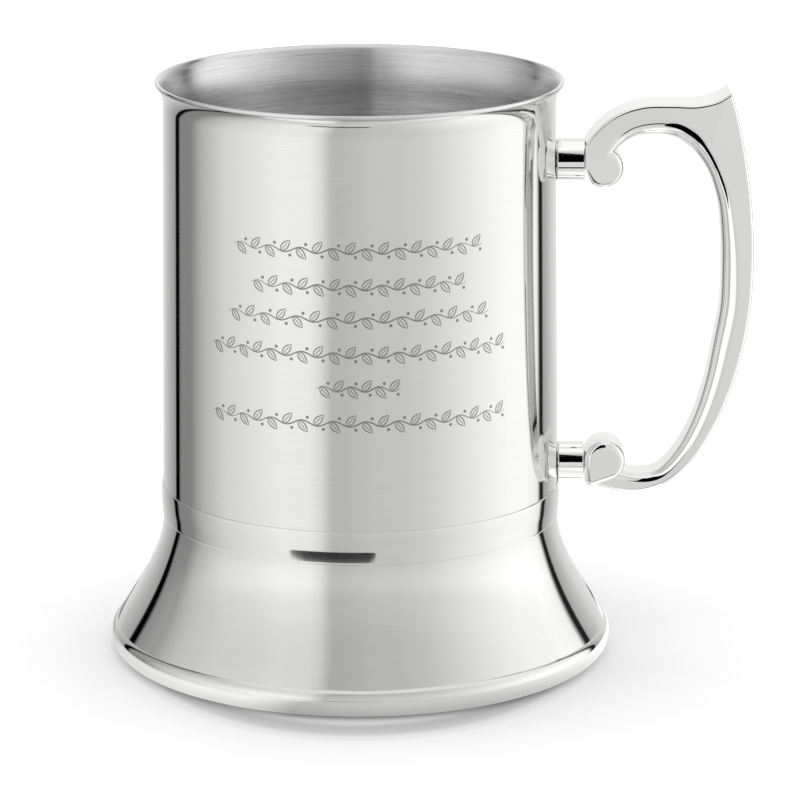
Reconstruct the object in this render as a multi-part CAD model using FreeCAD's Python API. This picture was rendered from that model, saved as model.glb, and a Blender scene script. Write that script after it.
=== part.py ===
import FreeCAD, Part
import math
import os

# Polished tankard: a double-walled cup on a flared foot, with a cast scroll handle.
# Millimetres, +Z up, origin at the centre of the foot's contact ring, handle towards +X.

V = FreeCAD.Vector

# ---- driving dimensions -------------------------------------------------------------
HEIGHT = 125.0            # floor to the top of the lip

SHELL_T = 0.45            # outer wall sheet
LINER_T = 0.5             # inner cup sheet
NEST_GAP = 0.02           # clearance between nested sheets

BODY_R_TOP = 41.65        # outer wall radius just below the flared lip
BODY_Z_TOP = 119.85
BODY_R_LOW = 42.63        # outer wall radius just above the collar bead
BODY_Z_LOW = 37.35

FLARE_R = 6.4             # radius of the outward curl of the lip, outer surface
SHELL_FLARE_DEG = 40.4    # how far round the curl the outer wall reaches
LIP_FLARE_DEG = 41.7      # how far round the curl the liner's lip reaches
LIP_BULGE_DEG = 4.2       # how far the rounded lip edge stands beyond that

LINER_TAPER_DEG = 1.6     # the cup narrows towards its floor
LINER_CURL_DEG = 30.0     # the liner leaves the outer wall this far round the curl
LINER_BEND_DROP = 3.3     # from there down to where its curl and its wall would cross
LINER_BEND_RUN = 5.3      # and on down to where the wall is straight
LINER_FLOOR_Z = 24.0      # inside floor of the cup
LINER_CORNER_R = 7.0      # inside corner between wall and floor

NECK_R = 41.95            # stepped-in lower end of the outer wall, held by the collar
NECK_Z = 31.5

BEAD_Z_TOP = 37.3         # collar bead round the top of the foot
BEAD_R_TOP = 42.9
BEAD_R = 42.99            # its widest, a little below the top
BEAD_FACET_Z = 33.0       # flat lower facet, leaning in towards the skirt
BEAD_FACET_R = 42.93
BEAD_FACET_Z_LOW = 30.7
BEAD_FACET_R_LOW = 42.79
BEAD_Z_LOW = 30.2
BEAD_R_LOW = 42.62
SKIRT_T = 0.7             # sheet of the flared foot

FOOT_R = 54.15            # outermost radius of the rolled foot
FOOT_Z = 3.5              # height of that radius above the floor
FOOT_CREASE_R = 52.88     # soft crease between the flare and the roll
FOOT_CREASE_Z = 6.35
CONTACT_R_OUT = 49.6      # flat ring that stands on the table
CONTACT_R_IN = 48.5
FOOT_LIP_R = 47.9         # turned-up edge inside the foot
FOOT_LIP_Z = 3.2

PLATE_Z = 2.4             # underside of the recessed base plate
PLATE_T = 0.6
PLATE_R = 47.85
PLATE_RIM = 3.6           # height of the plate's turned-up rim

UPPER_Z = 107.6           # height of the upper handle mount
LOWER_Z = 41.4            # height of the lower handle mount
UPPER_FERRULE_R = 4.5
LOWER_FERRULE_R = 4.05
UPPER_SEAT_X = 47.8       # flat seats on the handle, where the ferrules end
LOWER_SEAT_X = 48.2
FERRULE_EDGE = 0.25

STUD_R = 1.7
STUD_CLEAR = 0.15
STUD_REACH = 4.2          # how far each stud runs into the handle
FLANGE_R = 3.4            # thin stud head between the two walls
FLANGE_T = 0.3

TOP_EDGE_R = 0.5          # rounding of the outer edges on top of the handle
SPINE_EDGE_R = 0.85       # and down its spine

# Handle stations: outer x, outer z, inner x, inner z, half thickness, inner rounding.
# The first list runs from the upper scroll to the thumb tip, the second from the
# thumb tip down the spine and round to the lower scroll.
THUMB_TIP = (78.4, 122.8, 73.9, 105.6, 6.2, 4.0)
UPPER_LIMB = [
    (47.3, 106.2, 52.4, 106.0, 4.7, 1.4),
    (47.4, 108.6, 53.0, 107.9, 4.7, 1.5),
    (48.0, 111.5, 54.0, 109.8, 4.8, 1.7),
    (50.4, 114.9, 55.6, 111.5, 4.9, 2.2),
    (54.4, 118.0, 57.9, 112.8, 5.1, 2.8),
    (60.0, 119.9, 61.0, 113.4, 5.4, 3.4),
    (66.0, 120.15, 64.7, 113.3, 5.7, 3.8),
    (72.0, 120.2, 68.6, 111.8, 6.0, 4.0),
    (76.0, 121.3, 71.7, 109.0, 6.15, 4.0),
    (77.2, 122.0, 73.1, 107.0, 6.2, 4.0),
    THUMB_TIP,
]
LOWER_LIMB = [
    THUMB_TIP,
    (79.4, 119.6, 74.6, 104.0, 6.2, 4.0),
    (80.4, 115.6, 75.2, 102.2, 6.2, 4.0),
    (82.0, 107.4, 76.3, 98.0, 6.2, 4.0),
    (83.3, 97.5, 77.0, 91.0, 6.2, 4.0),
    (83.8, 86.5, 77.2, 83.5, 6.2, 3.9),
    (83.4, 76.5, 77.0, 76.0, 6.1, 3.7),
    (81.9, 66.8, 75.7, 68.0, 6.0, 3.4),
    (79.3, 57.6, 74.1, 59.4, 5.8, 3.0),
    (75.6, 48.8, 71.5, 51.0, 5.5, 2.6),
    (71.0, 41.6, 68.1, 44.3, 5.2, 2.2),
    (65.4, 37.0, 64.1, 40.0, 4.9, 1.9),
    (59.8, 35.3, 60.2, 39.15, 4.8, 1.7),
    (55.0, 35.6, 56.2, 39.75, 4.7, 1.6),
    (50.9, 36.8, 52.8, 40.5, 4.7, 1.5),
]
UPPER_SCROLL = (51.75, 106.4, 4.2, 4.7)   # centre x, centre z, radius, half thickness
UPPER_SCROLL_EDGE = 1.15
UPPER_SCROLL_CUT_DEG = 230                # where its outline turns off straight to the seat
UPPER_SCROLL_ROOT_X = 45.0                # the seat is cut out of this longer block
LOWER_SCROLL = (52.7, 42.2, 4.4, 5.2)
LOWER_SCROLL_EDGE = 1.3
LOWER_SCROLL_TOE = (49.9, 38.05, 1.45)    # rounded toe below the lower scroll
# --------------------------------------------------------------------------------------


def p(r, z):
    """A point of a turned profile."""
    return V(r, 0, z)


def line(a, b):
    return Part.LineSegment(a, b).toShape()


def arc(a, middle, b):
    return Part.Arc(a, middle, b).toShape()


def bezier(*poles):
    curve = Part.BezierCurve()
    curve.setPoles(list(poles))
    return curve.toShape()


def turned(edges):
    """Revolve a closed profile once round Z."""
    wire = Part.Wire(edges)
    return Part.Face(wire).revolve(V(0, 0, 0), V(0, 0, 1), 360)


def wall_tilt():
    """Lean of the outer wall from vertical, in radians."""
    return math.atan((BODY_R_LOW - BODY_R_TOP) / (BODY_Z_TOP - BODY_Z_LOW))


def flare_centre():
    tilt = wall_tilt()
    return BODY_R_TOP + FLARE_R * math.cos(tilt), BODY_Z_TOP + FLARE_R * math.sin(tilt)


def on_flare(radius, degrees):
    """Point on the curl of the lip: 0 degrees is where the curl leaves the wall."""
    cr, cz = flare_centre()
    angle = math.pi - math.radians(degrees)
    return p(cr + radius * math.cos(angle), cz + radius * math.sin(angle))


def shell_inner_r(z):
    """Inside radius of the outer wall at height z."""
    return BODY_R_TOP - SHELL_T + (BODY_Z_TOP - z) * math.tan(wall_tilt())


def body_shell():
    tilt = math.degrees(wall_tilt())
    inner_flare = FLARE_R + SHELL_T
    top_out = on_flare(FLARE_R, -tilt)
    top_in = on_flare(inner_flare, -tilt)
    edges = [
        line(p(NECK_R - SHELL_T, NECK_Z), p(NECK_R, NECK_Z)),
        line(p(NECK_R, NECK_Z), p(NECK_R, BODY_Z_LOW)),
        line(p(NECK_R, BODY_Z_LOW), p(BODY_R_LOW, BODY_Z_LOW)),
        line(p(BODY_R_LOW, BODY_Z_LOW), top_out),
        arc(top_out, on_flare(FLARE_R, SHELL_FLARE_DEG / 2), on_flare(FLARE_R, SHELL_FLARE_DEG)),
        line(on_flare(FLARE_R, SHELL_FLARE_DEG), on_flare(inner_flare, SHELL_FLARE_DEG)),
        arc(on_flare(inner_flare, SHELL_FLARE_DEG), on_flare(inner_flare, SHELL_FLARE_DEG / 2), top_in),
        line(top_in, p(BODY_R_LOW - SHELL_T, BODY_Z_LOW + SHELL_T)),
        line(p(BODY_R_LOW - SHELL_T, BODY_Z_LOW + SHELL_T), p(NECK_R - SHELL_T, BODY_Z_LOW + SHELL_T)),
        line(p(NECK_R - SHELL_T, BODY_Z_LOW + SHELL_T), p(NECK_R - SHELL_T, NECK_Z)),
    ]
    shell = turned(edges)
    for z in (UPPER_Z, LOWER_Z):
        hole = Part.makeCylinder(STUD_R + STUD_CLEAR, 10, V(38, 0, z), V(1, 0, 0))
        shell = shell.cut(hole)
    return shell


def liner_lip():
    """Closed section of the thick rounded lip, where the two sheets end together."""
    seam = SHELL_FLARE_DEG + 0.3
    inside = FLARE_R + SHELL_T + NEST_GAP + LINER_T
    middle = (FLARE_R + inside) / 2
    return [
        line(on_flare(FLARE_R + SHELL_T + NEST_GAP, seam), on_flare(FLARE_R, seam)),
        arc(on_flare(FLARE_R, seam), on_flare(FLARE_R, (seam + LIP_FLARE_DEG) / 2),
            on_flare(FLARE_R, LIP_FLARE_DEG)),
        arc(on_flare(FLARE_R, LIP_FLARE_DEG), on_flare(middle, LIP_FLARE_DEG + LIP_BULGE_DEG),
            on_flare(inside, LIP_FLARE_DEG)),
    ]


def liner_bend(radius, offset):
    """Curl end, bend pole and wall start of one face of the liner.

    The offset is how far this face lies outside the inner one.
    """
    curl = math.radians(LINER_CURL_DEG)
    taper = math.radians(LINER_TAPER_DEG)
    start = on_flare(radius, LINER_CURL_DEG)
    inner_start = on_flare(FLARE_R + SHELL_T + NEST_GAP + LINER_T, LINER_CURL_DEG)
    corner = 1 + math.cos(curl - taper)
    pole_r = inner_start.x - LINER_BEND_DROP * math.tan(curl)
    pole_r += offset * (math.cos(curl) + math.cos(taper)) / corner
    pole_z = inner_start.z - LINER_BEND_DROP
    pole_z -= offset * (math.sin(curl) + math.sin(taper)) / corner
    wall = p(pole_r - LINER_BEND_RUN * math.tan(taper), pole_z - LINER_BEND_RUN)
    return start, p(pole_r, pole_z), wall


def inner_liner():
    slope = math.tan(math.radians(LINER_TAPER_DEG))
    outside = FLARE_R + SHELL_T + NEST_GAP
    inside = outside + LINER_T
    seam = SHELL_FLARE_DEG + 0.3
    curl_in, pole_in, wall_in = liner_bend(inside, 0)
    curl_out, pole_out, wall_out = liner_bend(outside, LINER_T)
    corner_z = LINER_FLOOR_Z + LINER_CORNER_R
    wall_r = wall_in.x - (wall_in.z - corner_z) * slope
    corner_r = wall_r - LINER_CORNER_R
    diag = math.sqrt(0.5)
    outer_corner = LINER_CORNER_R + LINER_T
    mid_in = (LIP_FLARE_DEG + LINER_CURL_DEG) / 2
    mid_out = (seam + LINER_CURL_DEG) / 2
    edges = liner_lip() + [
        arc(on_flare(inside, LIP_FLARE_DEG), on_flare(inside, mid_in), curl_in),
        bezier(curl_in, pole_in, wall_in),
        line(wall_in, p(wall_r, corner_z)),
        arc(p(wall_r, corner_z),
            p(corner_r + LINER_CORNER_R * diag, corner_z - LINER_CORNER_R * diag),
            p(corner_r, LINER_FLOOR_Z)),
        line(p(corner_r, LINER_FLOOR_Z), p(0, LINER_FLOOR_Z)),
        line(p(0, LINER_FLOOR_Z), p(0, LINER_FLOOR_Z - LINER_T)),
        line(p(0, LINER_FLOOR_Z - LINER_T), p(corner_r, LINER_FLOOR_Z - LINER_T)),
        arc(p(corner_r, LINER_FLOOR_Z - LINER_T),
            p(corner_r + outer_corner * diag, corner_z - outer_corner * diag),
            p(wall_r + LINER_T, corner_z)),
        line(p(wall_r + LINER_T, corner_z), wall_out),
        bezier(wall_out, pole_out, curl_out),
        arc(curl_out, on_flare(outside, mid_out), on_flare(outside, seam)),
    ]
    return turned(edges)


def base_skirt():
    """Collar bead, concave flare and rolled foot, spun from one sheet."""
    crease = p(FOOT_CREASE_R, FOOT_CREASE_Z)
    equator = p(FOOT_R, FOOT_Z)
    inner_equator = p(FOOT_R - SKIRT_T, FOOT_Z)
    inner_crease = p(FOOT_CREASE_R - 0.75, FOOT_CREASE_Z - 0.35)
    collar_in = NECK_R + 0.05
    facet = p(BEAD_FACET_R, BEAD_FACET_Z)
    facet_low = p(BEAD_FACET_R_LOW, BEAD_FACET_Z_LOW)
    bead_low = p(BEAD_R_LOW, BEAD_Z_LOW)
    edges = [
        line(p(collar_in, BEAD_Z_TOP), p(BEAD_R_TOP - 0.15, BEAD_Z_TOP)),
        arc(p(BEAD_R_TOP - 0.15, BEAD_Z_TOP), p(BEAD_R_TOP - 0.044, BEAD_Z_TOP - 0.044),
            p(BEAD_R_TOP, BEAD_Z_TOP - 0.15)),
        bezier(p(BEAD_R_TOP, BEAD_Z_TOP - 0.15), p(BEAD_R, 36.2), p(BEAD_R, 34.2), facet),
        line(facet, facet_low),
        bezier(facet_low, p(42.77, 30.4), p(42.72, 30.25), bead_low),
        bezier(bead_low, p(42.7, 21.6), p(48.73, 13.54), crease),
        bezier(crease, p(53.65, 5.95), p(FOOT_R, 5.1), equator),
        bezier(equator, p(FOOT_R, 1.2), p(52.4, 0), p(CONTACT_R_OUT, 0)),
        line(p(CONTACT_R_OUT, 0), p(CONTACT_R_IN, 0)),
        arc(p(CONTACT_R_IN, 0), p(FOOT_LIP_R + 0.18, 0.18), p(FOOT_LIP_R, 0.6)),
        line(p(FOOT_LIP_R, 0.6), p(FOOT_LIP_R, FOOT_LIP_Z)),
        line(p(FOOT_LIP_R, FOOT_LIP_Z), p(FOOT_LIP_R + SKIRT_T, FOOT_LIP_Z)),
        line(p(FOOT_LIP_R + SKIRT_T, FOOT_LIP_Z), p(FOOT_LIP_R + SKIRT_T, 1.1)),
        bezier(p(FOOT_LIP_R + SKIRT_T, 1.1), p(49.2, 0.5), p(53.3, 0.3), inner_equator),
        bezier(inner_equator, p(FOOT_R - SKIRT_T, 4.8), p(52.9, 5.5), inner_crease),
        bezier(inner_crease, p(48.0, 13.2), p(42.0, 21.6), p(collar_in, BEAD_Z_LOW - 0.3)),
        line(p(collar_in, BEAD_Z_LOW - 0.3), p(collar_in, BEAD_Z_TOP)),
    ]
    return turned(edges)


def base_plate():
    rim_in = PLATE_R - PLATE_T
    top = PLATE_Z + PLATE_T
    edges = [
        line(p(0, PLATE_Z), p(PLATE_R - 1.0, PLATE_Z)),
        arc(p(PLATE_R - 1.0, PLATE_Z), p(PLATE_R - 0.3, PLATE_Z + 0.3), p(PLATE_R, PLATE_Z + 1.0)),
        line(p(PLATE_R, PLATE_Z + 1.0), p(PLATE_R, PLATE_Z + PLATE_RIM)),
        line(p(PLATE_R, PLATE_Z + PLATE_RIM), p(rim_in, PLATE_Z + PLATE_RIM)),
        line(p(rim_in, PLATE_Z + PLATE_RIM), p(rim_in, top + 0.4)),
        arc(p(rim_in, top + 0.4), p(rim_in - 0.12, top + 0.12), p(rim_in - 0.4, top)),
        line(p(rim_in - 0.4, top), p(0, top)),
        line(p(0, top), p(0, PLATE_Z)),
    ]
    return turned(edges)


def limb_section(station, edge_r):
    """Rounded section between the outer and inner outline, square to the handle's plane."""
    outer_x, outer_z, inner_x, inner_z, half, inner_round = station
    inner = V(inner_x, 0, inner_z)
    along = V(outer_x, 0, outer_z) - inner
    length = along.Length
    along.normalize()
    across = V(0, 1, 0)

    def at(u, v):
        return inner + along * u + across * v

    edges = []
    big = inner_round
    small = edge_r
    turn_in = big * (1 - math.sqrt(0.5))
    turn_out = small * (1 - math.sqrt(0.5))
    edges.append(line(at(0, half - big), at(0, big - half)))
    edges.append(arc(at(0, big - half), at(turn_in, turn_in - half), at(big, -half)))
    edges.append(line(at(big, -half), at(length - small, -half)))
    edges.append(arc(at(length - small, -half), at(length - turn_out, turn_out - half),
                     at(length, small - half)))
    edges.append(line(at(length, small - half), at(length, half - small)))
    edges.append(arc(at(length, half - small), at(length - turn_out, half - turn_out),
                     at(length - small, half)))
    edges.append(line(at(length - small, half), at(big, half)))
    edges.append(arc(at(big, half), at(turn_in, half - turn_in), at(0, half - big)))
    return Part.Wire(edges)


def limb(stations, edge_r):
    return Part.makeLoft([limb_section(s, edge_r) for s in stations], True, False)


def rounded_slab(face, half, edge_r):
    """Extrude a face of the XZ plane to both sides and round its rims."""
    face.translate(V(0, -half, 0))
    slab = face.extrude(V(0, 2 * half, 0))
    rims = [e for e in slab.Edges if e.BoundBox.YLength < 0.01]
    return slab.makeFillet(edge_r, rims)


def upper_scroll():
    """Round end of the upper limb, running straight off to the seat at the lower left."""
    x, z, radius, half = UPPER_SCROLL
    turn = math.radians(UPPER_SCROLL_CUT_DEG)
    low = V(x + radius * math.cos(turn), 0, z + radius * math.sin(turn))
    run = low.x - UPPER_SCROLL_ROOT_X
    root_low = V(UPPER_SCROLL_ROOT_X, 0, low.z + run / math.tan(turn - math.pi))
    root_high = V(UPPER_SCROLL_ROOT_X, 0, z + radius)
    edges = [
        line(root_low, low),
        arc(low, V(x + radius, 0, z), V(x, 0, z + radius)),
        line(V(x, 0, z + radius), root_high),
        line(root_high, root_low),
    ]
    return rounded_slab(Part.Face(Part.Wire(edges)), half, UPPER_SCROLL_EDGE)


def lower_scroll():
    """Teardrop end: a round head with a small toe that meets the seat of the ferrule."""
    x, z, radius, half = LOWER_SCROLL
    toe_x, toe_z, toe_r = LOWER_SCROLL_TOE
    dx = toe_x - x
    dz = toe_z - z
    reach = math.hypot(dx, dz)
    heading = math.atan2(dz, dx)
    spread = math.acos((radius - toe_r) / reach)
    right = heading + spread
    left = heading - spread

    def rim(cx, cz, r, angle):
        return V(cx + r * math.cos(angle), 0, cz + r * math.sin(angle))

    edges = [
        arc(rim(x, z, radius, left), rim(x, z, radius, heading + math.pi), rim(x, z, radius, right)),
        line(rim(x, z, radius, right), rim(toe_x, toe_z, toe_r, right)),
        arc(rim(toe_x, toe_z, toe_r, right), rim(toe_x, toe_z, toe_r, heading),
            rim(toe_x, toe_z, toe_r, left)),
        line(rim(toe_x, toe_z, toe_r, left), rim(x, z, radius, left)),
    ]
    return rounded_slab(Part.Face(Part.Wire(edges)), half, LOWER_SCROLL_EDGE)


def handle():
    upper = limb(UPPER_LIMB, TOP_EDGE_R)
    body = upper.fuse([limb(LOWER_LIMB, SPINE_EDGE_R), upper_scroll(), lower_scroll()])
    for z, seat in ((UPPER_Z, UPPER_SEAT_X), (LOWER_Z, LOWER_SEAT_X)):
        body = body.cut(Part.makeBox(4, 20, 14, V(seat - 4, -10, z - 7)))
        body = body.cut(Part.makeCylinder(STUD_R + 0.05, STUD_REACH + 0.8, V(seat, 0, z), V(1, 0, 0)))
    return body


def ferrule(radius, start_x, end_x, z):
    tube = Part.makeCylinder(radius, end_x - start_x, V(start_x, 0, z), V(1, 0, 0))
    rims = [e for e in tube.Edges if e.BoundBox.XLength < 0.01]
    tube = tube.makeFillet(FERRULE_EDGE, rims)
    bore = Part.makeCylinder(STUD_R + STUD_CLEAR, end_x - start_x + 2, V(start_x - 1, 0, z), V(1, 0, 0))
    return tube.cut(bore)


def stud(z, seat_x):
    """Threaded pin with a thin curved flange that backs the outer wall."""
    low = z - FLANGE_R - 1
    high = z + FLANGE_R + 1
    low_r = shell_inner_r(low) - NEST_GAP
    high_r = shell_inner_r(high) - NEST_GAP
    ring = turned([
        line(p(low_r - FLANGE_T, low), p(low_r, low)),
        line(p(low_r, low), p(high_r, high)),
        line(p(high_r, high), p(high_r - FLANGE_T, high)),
        line(p(high_r - FLANGE_T, high), p(low_r - FLANGE_T, low)),
    ])
    flange = ring.common(Part.makeCylinder(FLANGE_R, 12, V(36, 0, z), V(1, 0, 0)))
    start = shell_inner_r(z) - NEST_GAP - FLANGE_T / 2
    pin = Part.makeCylinder(STUD_R, seat_x + STUD_REACH - start, V(start, 0, z), V(1, 0, 0))
    return flange.fuse(pin).removeSplitter()


def wall_outer_r(z):
    return shell_inner_r(z) + SHELL_T


def build():
    upper_start = wall_outer_r(UPPER_Z - UPPER_FERRULE_R) + 0.01
    lower_start = wall_outer_r(LOWER_Z - LOWER_FERRULE_R) + 0.01
    return {
        "body_shell": body_shell(),
        "inner_liner": inner_liner(),
        "base_skirt": base_skirt(),
        "base_plate": base_plate(),
        "handle": handle(),
        "upper_ferrule": ferrule(UPPER_FERRULE_R, upper_start, UPPER_SEAT_X, UPPER_Z),
        "lower_ferrule": ferrule(LOWER_FERRULE_R, lower_start, LOWER_SEAT_X, LOWER_Z),
        "upper_stud": stud(UPPER_Z, UPPER_SEAT_X),
        "lower_stud": stud(LOWER_Z, LOWER_SEAT_X),
    }


os.makedirs("parts", exist_ok=True)
for name, shape in build().items():
    solids = shape.Solids
    print(name, len(solids), shape.isValid(), round(shape.Volume, 1), shape.BoundBox)
    shape.exportStep("parts/" + name + ".step")
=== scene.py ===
import math

import bmesh
import bpy
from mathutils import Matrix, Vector


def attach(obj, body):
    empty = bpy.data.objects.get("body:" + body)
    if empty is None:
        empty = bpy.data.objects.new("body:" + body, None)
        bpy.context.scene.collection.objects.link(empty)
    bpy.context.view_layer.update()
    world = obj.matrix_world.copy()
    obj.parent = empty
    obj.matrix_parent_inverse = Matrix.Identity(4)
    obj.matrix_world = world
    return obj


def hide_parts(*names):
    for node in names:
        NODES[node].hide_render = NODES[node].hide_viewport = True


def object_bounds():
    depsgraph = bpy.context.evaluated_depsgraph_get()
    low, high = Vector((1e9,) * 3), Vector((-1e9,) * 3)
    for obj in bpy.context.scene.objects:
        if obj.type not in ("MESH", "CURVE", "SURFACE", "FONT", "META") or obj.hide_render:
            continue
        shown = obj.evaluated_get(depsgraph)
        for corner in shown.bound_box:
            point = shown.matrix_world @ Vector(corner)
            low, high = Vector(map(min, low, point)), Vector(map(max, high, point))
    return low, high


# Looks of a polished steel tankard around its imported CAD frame.
# Metres, +Z up, +X towards the handle, -Y towards the camera.

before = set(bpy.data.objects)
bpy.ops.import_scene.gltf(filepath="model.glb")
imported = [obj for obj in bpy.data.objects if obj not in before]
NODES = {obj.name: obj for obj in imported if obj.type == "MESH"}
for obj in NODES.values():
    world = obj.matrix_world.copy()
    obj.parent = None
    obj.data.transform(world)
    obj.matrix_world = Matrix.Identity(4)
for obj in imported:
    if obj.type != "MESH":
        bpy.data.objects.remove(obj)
CAD_LOW, CAD_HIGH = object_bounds()
MM = 0.001

# ---- camera ---------------------------------------------------------------------------
CAMERA_TARGET = Vector((0.008577, 0.0, 0.05466))
CAMERA_ELEVATION = math.radians(14.51)
CAMERA_DISTANCE = 0.92448
CAMERA_LENS = 192.86


def make_camera():
    data = bpy.data.cameras.new("camera")
    data.lens = CAMERA_LENS
    data.sensor_width = 36
    data.dof.use_dof = False
    data.clip_start = 0.05
    data.clip_end = 20
    camera = bpy.data.objects.new("camera", data)
    back = Vector((0, -math.cos(CAMERA_ELEVATION), math.sin(CAMERA_ELEVATION)))
    camera.location = CAMERA_TARGET + back * CAMERA_DISTANCE
    camera.rotation_mode = "QUATERNION"
    camera.rotation_quaternion = (-back).to_track_quat("-Z", "Y")
    bpy.context.scene.collection.objects.link(camera)
    bpy.context.scene.camera = camera


# ---- node helpers ---------------------------------------------------------------------
class Graph:
    """Short calls for building one node tree."""

    def __init__(self, tree):
        self.tree = tree

    def node(self, kind, **settings):
        made = self.tree.nodes.new(kind)
        for name, value in settings.items():
            setattr(made, name, value)
        return made

    def put(self, value, socket):
        if isinstance(value, bpy.types.NodeSocket):
            self.tree.links.new(value, socket)
        else:
            socket.default_value = value

    def math(self, operation, a, b=0.0, c=None, clamp=False):
        made = self.node("ShaderNodeMath", operation=operation, use_clamp=clamp)
        self.put(a, made.inputs[0])
        self.put(b, made.inputs[1])
        if c is not None:
            self.put(c, made.inputs[2])
        return made.outputs[0]

    def ramp(self, factor, stops, interpolation="LINEAR"):
        """A grey ramp through (position, level) stops."""
        made = self.node("ShaderNodeValToRGB")
        ramp = made.color_ramp
        ramp.interpolation = interpolation
        ramp.elements[0].position = stops[0][0]
        ramp.elements[1].position = stops[-1][0]
        for position, _ in stops[1:-1]:
            ramp.elements.new(position)
        for element, (_, level) in zip(ramp.elements, stops):
            element.color = (level, level, level, 1)
        self.put(factor, made.inputs[0])
        return made.outputs[0]

    def mix(self, factor, a, b):
        made = self.node("ShaderNodeMix", data_type="RGBA")
        self.put(factor, made.inputs["Factor"])
        self.put(a, made.inputs[6])
        self.put(b, made.inputs[7])
        return made.outputs[2]

    def blend(self, factor, a, b):
        made = self.node("ShaderNodeMix", data_type="FLOAT")
        self.put(factor, made.inputs[0])
        self.put(a, made.inputs[2])
        self.put(b, made.inputs[3])
        return made.outputs[0]


# ---- studio light ---------------------------------------------------------------------
# Brightness round the horizon, as (azimuth in degrees, level). Azimuth 0 is the camera's
# side, positive to the right. Two large soft boxes stand left and right of a dimmer gap,
# and two thin black strips stand behind them.
RING = [
    (-180, 0.90), (-160, 0.75), (-150, 0.60), (-140, 0.46), (-135.6, 0.40), (-135.1, 0.0),
    (-129.7, 0.0), (-129.2, 0.29), (-115, 0.31), (-104, 0.58), (-84, 0.89), (-61, 1.05),
    (-46, 1.16), (-29, 1.14), (-22.5, 0.98), (-15.5, 0.65), (-8, 0.66), (8, 0.74), (24, 0.76),
    (39, 0.84), (62, 1.05), (78, 1.20), (96, 1.33), (114, 1.33), (124.5, 1.12), (127.5, 0.015),
    (132.0, 0.015), (135, 0.45), (152, 0.78), (180, 0.90),
]
# How the soft boxes fade with height: (elevation in degrees, half the factor).
LIFT = [(-16, 0.5), (-5, 0.54), (8, 0.56), (20, 0.50), (30, 0.485), (42, 0.44), (52, 0.47)]
# Higher up, the two boxes are more even: (azimuth in degrees, half the factor).
HIGH = [
    (-180, 0.50), (-150, 0.55), (-130, 0.70), (-125, 0.80), (-118, 1.00), (-112, 0.80),
    (-106, 0.68), (-100, 0.62), (-94, 0.57), (-88, 0.50), (-60, 0.465), (-30, 0.465),
    (-15, 0.50), (60, 0.5), (110, 0.48), (124, 0.5), (134, 0.65), (165, 0.55), (180, 0.5),
]
WHITE = 1.0               # what the camera sees behind the floor
FLOOR_LIGHT = 1.35        # light that falls on the floor
FLOOR_GLINT = 0.08        # what the metal throws back onto the floor
DOME_LEVEL = 1.0          # overhead soft box
GROUND_LEVEL = 0.8        # far below the horizon
STUDIO = 1.2              # how far away the cards stand, in metres
# Black flags for the handle alone: (name, azimuths, elevations), in degrees.
FLAGS = [
    ("front_flag", (-21.5, 6), (-1.5, 50)),
    ("low_flag", (-25, 25), (-38, -30)),
    ("bevel_flag", (-45, -3), (-50, -16)),
    ("right_flag", (116, 132), (-30, 40)),
]
# A dark gap in the table, curved round the front of the tankard, in metres and degrees.
GAP_R = 0.1180
GAP_HALF = 0.0057
GAP_AZIMUTHS = (-34, 8)
GAP_TAPERS = (9, 4)
GAP_LEVEL = 0.02


def turn_of(g, split):
    """Azimuth of a separated vector, from 0 to 1, with the camera's side at 0.5."""
    toward = g.math("MULTIPLY", split.outputs[1], -1.0)
    azimuth = g.math("ARCTAN2", split.outputs[0], toward)
    return g.math("MULTIPLY_ADD", azimuth, 0.5 / math.pi, 0.5)


def by_azimuth(stops, scale=1.0):
    """Ramp stops from (degrees, level) pairs, for the factor that turn_of gives."""
    return [(degrees / 360 + 0.5, level * scale) for degrees, level in stops]


def by_elevation(stops):
    return [(degrees / 180 + 0.5, level) for degrees, level in stops]


def studio_level(g, direction):
    """Brightness of the studio in a direction: the ring of soft boxes, overhead and below.

    A ramp holds no level over 1, so ring, lift and high are stored halved."""
    split = g.node("ShaderNodeSeparateXYZ")
    g.put(direction, split.inputs[0])
    turn = turn_of(g, split)
    ring = g.ramp(turn, by_azimuth(RING, 0.5))
    ring = g.math("MULTIPLY", ring, 2.0)
    height = g.math("ARCSINE", split.outputs[2])
    height = g.math("MULTIPLY_ADD", height, 1 / math.pi, 0.5)
    lift = g.ramp(height, by_elevation(LIFT))
    ring = g.math("MULTIPLY", ring, g.math("MULTIPLY", lift, 2.0))
    high = g.math("MULTIPLY", g.ramp(turn, by_azimuth(HIGH)), 2.0)
    rise = g.ramp(height, by_elevation([(0, 0.0), (35, 1.0)]))
    ring = g.math("MULTIPLY", ring, g.blend(rise, 1.0, high))
    up = g.ramp(height, by_elevation([(50, 0.0), (62, 1.0)]))
    down = g.ramp(height, by_elevation([(-70, 1.0), (-55, 0.0)]))
    level = g.blend(up, ring, DOME_LEVEL)
    return g.blend(down, level, GROUND_LEVEL)


def make_world():
    world = bpy.data.worlds.new("studio")
    bpy.context.scene.world = world
    world.use_nodes = True
    world.cycles.sampling_method = "NONE"
    g = Graph(world.node_tree)
    world.node_tree.nodes.clear()
    direction = g.node("ShaderNodeTexCoord").outputs["Generated"]
    level = studio_level(g, direction)
    path = g.node("ShaderNodeLightPath")
    after_floor = g.math("GREATER_THAN", path.outputs["Diffuse Depth"], 0.5)
    level = g.blend(after_floor, level, FLOOR_GLINT)
    level = g.blend(path.outputs["Is Glossy Ray"], FLOOR_LIGHT, level)
    level = g.blend(path.outputs["Is Camera Ray"], level, WHITE)
    background = g.node("ShaderNodeBackground")
    g.put(level, background.inputs["Color"])
    background.inputs["Strength"].default_value = 1.0
    output = g.node("ShaderNodeOutputWorld")
    g.put(background.outputs[0], output.inputs["Surface"])
    bpy.context.scene.view_settings.view_transform = "Standard"


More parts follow.
